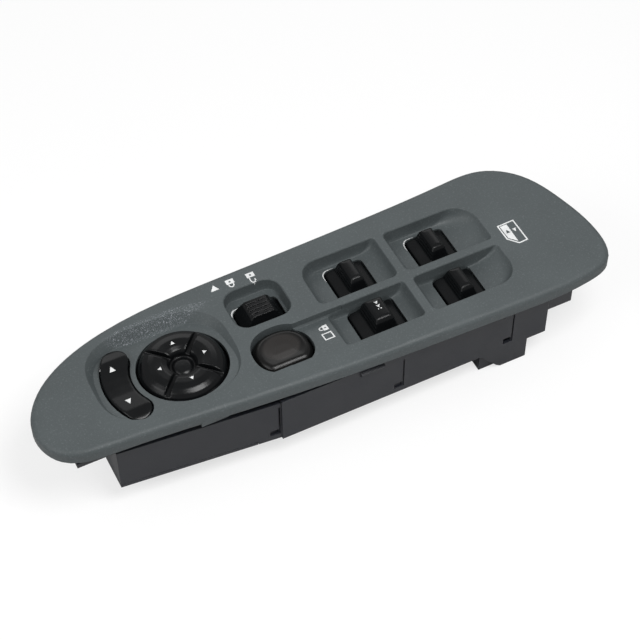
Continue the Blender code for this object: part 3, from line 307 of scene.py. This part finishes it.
def build_drift_group():
    """Slow changes of tone and gloss over a moulding."""
    tree, given, result = group_with(
        "moulding_drift",
        [("Patch Scale", "NodeSocketFloat", 40.0)],
        [("Patches", "NodeSocketFloat")],
    )
    noise = add_noise(tree, object_place(tree), given.outputs["Patch Scale"], DRIFT_DETAIL)
    tree.links.new(add_range(tree, noise, DRIFT_SPAN), result.inputs["Patches"])
    return tree


def build_edge_group():
    """A mask of the worn corners of a moulding, and a normal that rounds them."""
    tree, given, result = group_with(
        "worn_corners",
        [("Width", "NodeSocketFloat", 0.0004), ("Patch Scale", "NodeSocketFloat", 120.0)],
        [("Wear", "NodeSocketFloat"), ("Normal", "NodeSocketVector")],
    )
    soft = tree.nodes.new("ShaderNodeBevel")
    soft.samples = CORNER_SAMPLES
    tree.links.new(given.outputs["Width"], soft.inputs["Radius"])
    plain = tree.nodes.new("ShaderNodeNewGeometry").outputs["Normal"]
    likeness = add_vector(tree, "DOT_PRODUCT", soft.outputs["Normal"], plain, "Value")
    corner = add_range(tree, likeness, CORNER_LIKENESS)
    noise = add_noise(tree, object_place(tree), given.outputs["Patch Scale"], WEAR_DETAIL)
    tree.links.new(add_math(tree, "MULTIPLY", corner, noise), result.inputs["Wear"])
    tree.links.new(soft.outputs["Normal"], result.inputs["Normal"])
    return tree


def build_oval_group():
    """A soft oval mask round a middle, for a worn touch face and for the place of a painted glint."""
    tree, given, result = group_with(
        "touch_oval",
        [
            ("Middle", "NodeSocketVector", (0.0, 0.0, 0.0)),
            ("Spread", "NodeSocketVector", (100.0, 100.0, 0.0)),
        ],
        [("Mask", "NodeSocketFloat")],
    )
    shift = add_vector(tree, "SUBTRACT", object_place(tree), given.outputs["Middle"])
    stretch = add_vector(tree, "MULTIPLY", shift, given.outputs["Spread"])
    reach = add_vector(tree, "LENGTH", stretch, None, "Value")
    tree.links.new(add_range(tree, reach, OVAL_EDGE), result.inputs["Mask"])
    return tree


GRAIN = build_grain_group()
DRIFT = build_drift_group()
CORNERS = build_edge_group()
OVAL = build_oval_group()


# Finishes

TONE_LOW = 0.93
TONE_HIGH = 1.07
BUMP_DISTANCE = 0.0002

# The paler middle of the window lock button: its place, its spread per metre and its tone
TOUCH_CENTRE = ((-0.0257, -0.0150, 0.0), (96.0, 122.0, 0.0), (0.024, 0.022, 0.021))

# A painted glint on the far wall of the mirror dish: pale specks painted into the colour where the grain
# catches the light. Its place, spread per metre, tone and cells per metre
DISH_PAINTED_GLINT = ((-0.0745, 0.0262, 0.0), (34.0, 215.0, 0.0), (0.34, 0.36, 0.39), 2600)


def add_group(tree, group, **values):
    node = tree.nodes.new("ShaderNodeGroup")
    node.node_tree = group
    for label, value in values.items():
        node.inputs[label.replace("_", " ")].default_value = value
    return node


def finish_of(name, base, worn, rough, cells, bump, drift, wear=0.30, metal=0.0, specular=0.5,
              corner=0.0004, tips=0.30, centre=None, painted_glint=None):
    """A moulded or metal finish. rough is a span of roughness, cells and drift are scales per metre."""
    material = bpy.data.materials.new(name)
    material.use_nodes = True
    tree = material.node_tree
    shader = tree.nodes["Principled BSDF"]
    shader.inputs["Metallic"].default_value = metal
    shader.inputs["Specular IOR Level"].default_value = specular
    grained = add_group(tree, GRAIN, Cell_Scale=cells)
    drifted = add_group(tree, DRIFT, Patch_Scale=drift)
    corners = add_group(tree, CORNERS, Width=corner)

    darker = tuple(c * TONE_LOW for c in base)
    paler = tuple(c * TONE_HIGH for c in base)
    colour = add_mix(tree, drifted.outputs["Patches"], darker, paler)
    if centre:
        middle, spread, tone = centre
        oval = add_group(tree, OVAL, Middle=middle, Spread=spread)
        colour = add_mix(tree, oval.outputs["Mask"], colour, tone)
    colour = add_mix(tree, add_math(tree, "MULTIPLY", grained.outputs["Tips"], tips), colour, worn)
    colour = add_mix(tree, add_math(tree, "MULTIPLY", corners.outputs["Wear"], wear), colour, worn)
    # A painted glint: pale specks of highlight painted into the colour inside an oval
    if painted_glint:
        middle, spread, tone, scale = painted_glint
        oval = add_group(tree, OVAL, Middle=middle, Spread=spread)
        glint_specks = add_group(tree, GRAIN, Cell_Scale=scale)
        painted_glint_mask = add_math(tree, "MULTIPLY", oval.outputs["Mask"], glint_specks.outputs["Tips"])
        colour = add_mix(tree, painted_glint_mask, colour, tone)
    tree.links.new(colour, shader.inputs["Base Color"])
    roughness = add_range(tree, drifted.outputs["Patches"], (0.0, 1.0), rough)
    tree.links.new(roughness, shader.inputs["Roughness"])

    relief = tree.nodes.new("ShaderNodeBump")
    relief.inputs["Strength"].default_value = bump
    relief.inputs["Distance"].default_value = BUMP_DISTANCE
    tree.links.new(grained.outputs["Height"], relief.inputs["Height"])
    tree.links.new(corners.outputs["Normal"], relief.inputs["Normal"])
    tree.links.new(relief.outputs[0], shader.inputs["Normal"])
    return material


FINISH = {
    "slate_trim": finish_of(
        "slate_trim", base=(0.071, 0.083, 0.086), worn=(0.15, 0.17, 0.175), rough=(0.46, 0.58),
        cells=1500, bump=0.45, drift=30, specular=0.35, painted_glint=DISH_PAINTED_GLINT),
    "black_key": finish_of(
        "black_key", base=(0.004, 0.0045, 0.005), worn=(0.02, 0.02, 0.022), rough=(0.20, 0.27),
        cells=2600, bump=0.02, drift=90, specular=0.24, wear=0.15, corner=0.0006, tips=0.10),
    "lock_key": finish_of(
        "lock_key", base=(0.004, 0.004, 0.004), worn=(0.02, 0.02, 0.019), rough=(0.26, 0.34),
        cells=2400, bump=0.06, drift=90, specular=0.28, wear=0.15, corner=0.0008, tips=0.10,
        centre=TOUCH_CENTRE),
    "black_housing": finish_of(
        "black_housing", base=(0.0140, 0.0155, 0.0205), worn=(0.03, 0.03, 0.04), rough=(0.32, 0.44),
        cells=1800, bump=0.10, drift=45, specular=0.42, tips=0.15),
    "board_green": finish_of(
        "board_green", base=(0.020, 0.110, 0.048), worn=(0.10, 0.25, 0.14), rough=(0.35, 0.45),
        cells=2200, bump=0.10, drift=60),
    "slider_white": finish_of(
        "slider_white", base=(0.62, 0.61, 0.57), worn=(0.75, 0.74, 0.70), rough=(0.37, 0.47),
        cells=2000, bump=0.10, drift=80, wear=0.20),
    "silicone_grey": finish_of(
        "silicone_grey", base=(0.26, 0.26, 0.27), worn=(0.36, 0.36, 0.37), rough=(0.63, 0.73),
        cells=1800, bump=0.20, drift=60, wear=0.15),
    "contact_tin": finish_of(
        "contact_tin", base=(0.60, 0.58, 0.54), worn=(0.75, 0.72, 0.66), rough=(0.22, 0.38),
        cells=3000, bump=0.15, drift=200, metal=1.0),
    "screw_steel": finish_of(
        "screw_steel", base=(0.44, 0.44, 0.43), worn=(0.62, 0.61, 0.58), rough=(0.26, 0.42),
        cells=2600, bump=0.20, drift=150, metal=1.0),
}
PRINT_WHITE = finish_of(
    "print_white", base=(0.72, 0.73, 0.73), worn=(0.60, 0.61, 0.61), rough=(0.48, 0.58),
    cells=2400, bump=0.10, drift=160, wear=0.10, tips=0.10)

for name, node in NODES.items():
    node.data.materials.clear()
    node.data.materials.append(FINISH[SLOT_OF[name]])


# Smooth skins: what shows of the CAD nodes, joined up and shaded by its own curves

MERGE_DISTANCE = 0.000002
SOFTEN_FACTOR = 0.5
SPRING_ANGLE = 50

# Each skin's smoothing angle in degrees. Where the moulded corners are rounded too, the size of the
# even mesh in mm and the passes of smoothing follow.
SKINS = {
    "bezel": (32,),
    "switch_housing": (30,),
    "base_cover": (30,),
    "main_connector": (30,),
    "mirror_connector": (30,),
    "driver_window_rocker": (60, 0.28, 22),
    "passenger_window_rocker": (60, 0.28, 22),
    "rear_left_window_rocker": (60, 0.28, 22),
    "rear_right_window_rocker": (60, 0.28, 22),
    "door_lock_rocker": (38,),
    "mirror_select_rocker": (60, 0.28, 40),
    "window_lock_button": (60, 0.28, 12),
    "mirror_pad": (60, 0.28, 8),
    "mirror_gimbal": (35,),
    "mirror_dome_mat": (35,),
    "front_screw": (35,),
    "rear_screw": (35,),
    "far_front_screw": (35,),
    "far_rear_screw": (35,),
}


def only(piece):
    bpy.ops.object.select_all(action="DESELECT")
    piece.select_set(True)
    bpy.context.view_layer.objects.active = piece


def round_corners(skin, voxel, passes):
    """Gives a key the soft corners of a moulding: an even fine mesh, smoothed a little."""
    fine = skin.modifiers.new("fine_mesh", "REMESH")
    fine.mode = "VOXEL"
    fine.voxel_size = voxel * MM
    bpy.ops.object.modifier_apply(modifier=fine.name)
    soft = skin.modifiers.new("soft_corners", "SMOOTH")
    soft.factor = SOFTEN_FACTOR
    soft.iterations = passes
    bpy.ops.object.modifier_apply(modifier=soft.name)


def make_skin(name, angle, voxel=0.0, passes=0):
    mesh = NODES[name].data.copy()
    skin = bpy.data.objects.new(name + "_skin", mesh)
    bpy.context.scene.collection.objects.link(skin)
    only(skin)
    bpy.ops.object.mode_set(mode="EDIT")
    bpy.ops.mesh.select_all(action="SELECT")
    bpy.ops.mesh.remove_doubles(threshold=MERGE_DISTANCE)
    bpy.ops.object.mode_set(mode="OBJECT")
    bpy.ops.mesh.customdata_custom_splitnormals_clear()
    if passes:
        round_corners(skin, voxel, passes)
    bpy.ops.object.shade_smooth_by_angle(angle=math.radians(angle))
    even = skin.modifiers.new("even_normals", "WEIGHTED_NORMAL")
    even.keep_sharp = True
    bpy.ops.object.modifier_apply(modifier=even.name)
    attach(skin, BODY_OF[name])
    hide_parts(name)
    return skin


SKIN_OF = {name: make_skin(name, *look) for name, look in SKINS.items()}

# The button's spring, as a skin with a mesh of its own
spring = make_skin("lock_button_spring", SPRING_ANGLE)
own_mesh(spring)
bpy.context.view_layer.update()


# Print: plain white signs, laid on the surface under them

RAY_START = 0.2
PRINT_LIFT = 0.01
PRINT_THICKNESS = 0.03


def height_under(node, x, y):
    """The height of a skin's top under a point, in metres, or None beside the skin."""
    met, place, _, _ = SKIN_OF[node].ray_cast(Vector((x, y, RAY_START)), Vector((0, 0, -1)))
    return place.z if met else None


def print_sign(name, node, outlines):
    """Flat outlines in mm, dropped on a node's top from above. Outlines inside another cut it open."""
    data = bpy.data.curves.new(name, "CURVE")
    data.dimensions = "2D"
    data.fill_mode = "BOTH"
    for points in outlines:
        spline = data.splines.new("POLY")
        spline.points.add(len(points) - 1)
        for point, (x, y) in zip(spline.points, points):
            point.co = (x * MM, y * MM, 0.0, 1.0)
        spline.use_cyclic_u = True
    sign = bpy.data.objects.new(name, data)
    bpy.context.scene.collection.objects.link(sign)
    only(sign)
    bpy.ops.object.convert(target="MESH")
    sign = bpy.context.object
    for vertex in sign.data.vertices:
        height = height_under(node, vertex.co.x, vertex.co.y)
        if height is not None:
            vertex.co.z = height + PRINT_LIFT * MM
    only(sign)
    bpy.ops.object.mode_set(mode="EDIT")
    bpy.ops.mesh.select_all(action="SELECT")
    bpy.ops.mesh.normals_make_consistent(inside=False)
    bpy.ops.object.mode_set(mode="OBJECT")
    thick = sign.modifiers.new("ink", "SOLIDIFY")
    thick.thickness = PRINT_THICKNESS * MM
    thick.offset = 0.0
    bpy.ops.object.modifier_apply(modifier=thick.name)
    sign.data.materials.clear()
    sign.data.materials.append(PRINT_WHITE)
    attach(sign, BODY_OF[node])


def heading(degrees):
    return math.cos(math.radians(degrees)), math.sin(math.radians(degrees))


def arc(x, y, radius, start, end, count):
    turns = [heading(start + (end - start) * i / count) for i in range(count + 1)]
    return [(x + radius * along, y + radius * up) for along, up in turns]


def turned(points, at, degrees):
    """Points drawn round the origin, turned and then moved to a place."""
    cos_turn, sin_turn = heading(degrees)
    return [
        (at[0] + cos_turn * x - sin_turn * y, at[1] + sin_turn * x + cos_turn * y) for x, y in points
    ]


def triangle(at, width, height, degrees):
    """A triangle that points along +Y before it turns, with its middle at a place."""
    corners = [(-width / 2, -height / 2), (width / 2, -height / 2), (0, height / 2)]
    return turned(corners, at, degrees)


# A padlock of unit size
PADLOCK_BODY = [(-0.42, -0.5), (0.42, -0.5), (0.42, 0.08), (-0.42, 0.08)]
SHACKLE_RISE = 0.24
SHACKLE_FOOT = 0.1
SHACKLE_OUTER = 0.30
SHACKLE_INNER = 0.17
KEYHOLE = arc(0, -0.2, 0.11, 0, 330, 11)


def padlock(at, size, degrees, lift):
    """A padlock's body and shackle; lift opens the shackle on one side."""
    outer = arc(0, SHACKLE_RISE + lift, SHACKLE_OUTER, 0, 180, 12)
    inner = arc(0, SHACKLE_RISE + lift, SHACKLE_INNER, 180, 0, 12)
    free_end = [(-SHACKLE_OUTER, SHACKLE_FOOT + lift), (-SHACKLE_INNER, SHACKLE_FOOT + lift)]
    shackle = [(SHACKLE_OUTER, SHACKLE_FOOT)] + outer + free_end + inner + [(SHACKLE_INNER, SHACKLE_FOOT)]
    parts = (PADLOCK_BODY, shackle, KEYHOLE)
    return [turned([(x * size, y * size) for x, y in part], at, degrees) for part in parts]


def shrunk(points, gap):
    """A convex outline moved in by a gap on every side."""
    middle = Vector((sum(p[0] for p in points), sum(p[1] for p in points))) / len(points)
    made = []
    for before, at, after in zip(points[-1:] + points[:-1], points, points[1:] + points[:1]):
        sides = []
        for first, second in ((before, at), (at, after)):
            run = (Vector(second) - Vector(first)).normalized()
            inward = Vector((-run.y, run.x))
            if inward.dot(middle - Vector(at)) < 0:
                inward = -inward
            sides.append(inward)
        corner = (sides[0] + sides[1]).normalized()
        made.append(tuple(Vector(at) + corner * (gap / corner.dot(sides[0]))))
    return made


# Rear window sign: a door window, its front part white, with an arrow in each part
WINDOW = [(106.7, 4.6), (116.6, 4.9), (116.6, -10.4), (111.2, -10.7), (106.7, -5.5)]
WINDOW_FRAME = 0.75
WINDOW_PANE = [(107.9, 3.5), (111.9, 3.6), (111.6, -9.0), (107.9, -5.0)]
WINDOW_ARROW = (2.2, 2.4)
PANE_ARROW_AT = (109.9, -0.8)
REAR_ARROW_AT = (113.9, -1.6)

# Signs by the door lock
POINTER_AT = (-40.3, 31.8)
POINTER = (4.2, 4.0)
POINTER_TURN = 118
CLOSED_PADLOCK_AT = (-31.0, 31.9)
OPEN_PADLOCK_AT = (-20.0, 31.3)
DOOR_PADLOCK_SIZE = 5.2
OPEN_LIFT = 0.28

# Signs by the window lock button
LOCKED_WINDOW = [(-4.6, -21.2), (0.9, -21.2), (0.9, -16.2), (-4.6, -16.2)]
LOCKED_WINDOW_FRAME = 0.7
LOCK_PADLOCK_AT = (-1.5, -12.6)
LOCK_PADLOCK_SIZE = 4.6

# Arrows of the mirror selector and the mirror pad, each with its turn, and the driver's key's mark
SELECTOR_ARROWS = {"near": ((-104.6, -12.2), 180), "far": ((-104.6, 9.4), 0)}
SELECTOR_ARROW = (3.2, 3.2)
PAD_MIDDLE = (-72.7, -2.7)
PAD_ARROW_REACH = 12.0
PAD_ARROW = (2.2, 2.0)
PAD_ARROW_TURNS = {"rear": -90, "far": 0, "front": 90, "near": 180}
DRIVER_ARROWS_AT = ((27.0, -14.0), (27.0, -16.4))
DRIVER_ARROW = (2.2, 1.9)
DRIVER_BAR = [(25.9, -18.3), (28.1, -18.3), (28.1, -17.8), (25.9, -17.8)]

print_sign("window_sign_frame", "bezel", [WINDOW, shrunk(WINDOW, WINDOW_FRAME)])
print_sign("window_sign_pane", "bezel", [WINDOW_PANE, triangle(PANE_ARROW_AT, *WINDOW_ARROW, 0)])
print_sign("window_sign_arrow", "bezel", [triangle(REAR_ARROW_AT, *WINDOW_ARROW, 180)])
print_sign("door_lock_pointer", "bezel", [triangle(POINTER_AT, *POINTER, POINTER_TURN)])
print_sign("closed_padlock", "bezel", padlock(CLOSED_PADLOCK_AT, DOOR_PADLOCK_SIZE, 180, 0.0))
print_sign("open_padlock", "bezel", padlock(OPEN_PADLOCK_AT, DOOR_PADLOCK_SIZE, 180, OPEN_LIFT))
print_sign("lock_sign_window", "bezel", [LOCKED_WINDOW, shrunk(LOCKED_WINDOW, LOCKED_WINDOW_FRAME)])
print_sign("lock_sign_padlock", "bezel", padlock(LOCK_PADLOCK_AT, LOCK_PADLOCK_SIZE, 90, 0.0))
for label, (at, turn) in SELECTOR_ARROWS.items():
    print_sign("selector_arrow_" + label, "mirror_select_rocker", [triangle(at, *SELECTOR_ARROW, turn)])
driver_arrows = [triangle(at, *DRIVER_ARROW, 180) for at in DRIVER_ARROWS_AT]
print_sign("driver_key_mark", "driver_window_rocker", driver_arrows + [DRIVER_BAR])
for label, turn in PAD_ARROW_TURNS.items():
    at = turned([(0, PAD_ARROW_REACH)], PAD_MIDDLE, turn)[0]
    print_sign("pad_arrow_" + label, "mirror_pad", [triangle(at, *PAD_ARROW, turn)])


# Thin white slips painted on the plate just past the far edge of three openings, in mm

SEARCH_FROM = 6.0
SEARCH_TO = 20.0
SEARCH_STEP = 0.1
POCKET_FLOOR_ABOVE = 0.0440
SLIP_STEPS = 14
SLIP_CLEARANCE = 0.15
SLIP_END_WIDTH = 0.12

# Each slip's ends in degrees about its opening's middle, and how much wider it is in its middle
FAR_KEYS = ("passenger_window", "rear_right_window")
FAR_KEY_SLIPS = {"left": (158, 112, 0.45), "right": (76, 62, 0.9)}
DOOR_LOCK_SLIP = (160, 128, 0.9)


def middle_of(node):
    low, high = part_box(node)
    return (low.x + high.x) / 2 / MM, (low.y + high.y) / 2 / MM


def opening_edge(centre, degrees):
    """How far the plate's opening reaches from its middle in one direction, in mm."""
    along, across = heading(degrees)
    reach = SEARCH_FROM
    while reach < SEARCH_TO:
        x, y = centre[0] + along * reach, centre[1] + across * reach
        height = height_under("bezel", x * MM, y * MM)
        if height is not None and height > POCKET_FLOOR_ABOVE:
            return reach
        reach += SEARCH_STEP
    return reach


def white_slip(name, centre, start, end, wide):
    """A slip along the opening's edge, widest at its middle and thin at its ends."""
    inner, outer = [], []
    for i in range(SLIP_STEPS + 1):
        degrees = start + (end - start) * i / SLIP_STEPS
        along, across = heading(degrees)
        edge = opening_edge(centre, degrees) + SLIP_CLEARANCE
        width = SLIP_END_WIDTH + wide * math.sin(math.pi * i / SLIP_STEPS)
        inner.append((centre[0] + along * edge, centre[1] + across * edge))
        outer.append((centre[0] + along * (edge + width), centre[1] + across * (edge + width)))
    print_sign(name, "bezel", [inner + outer[::-1]])


for key in FAR_KEYS:
    for side, slip in FAR_KEY_SLIPS.items():
        white_slip(key + "_slip_" + side, middle_of(key + "_rocker"), *slip)
white_slip("door_lock_slip", middle_of("door_lock_rocker"), *DOOR_LOCK_SLIP)
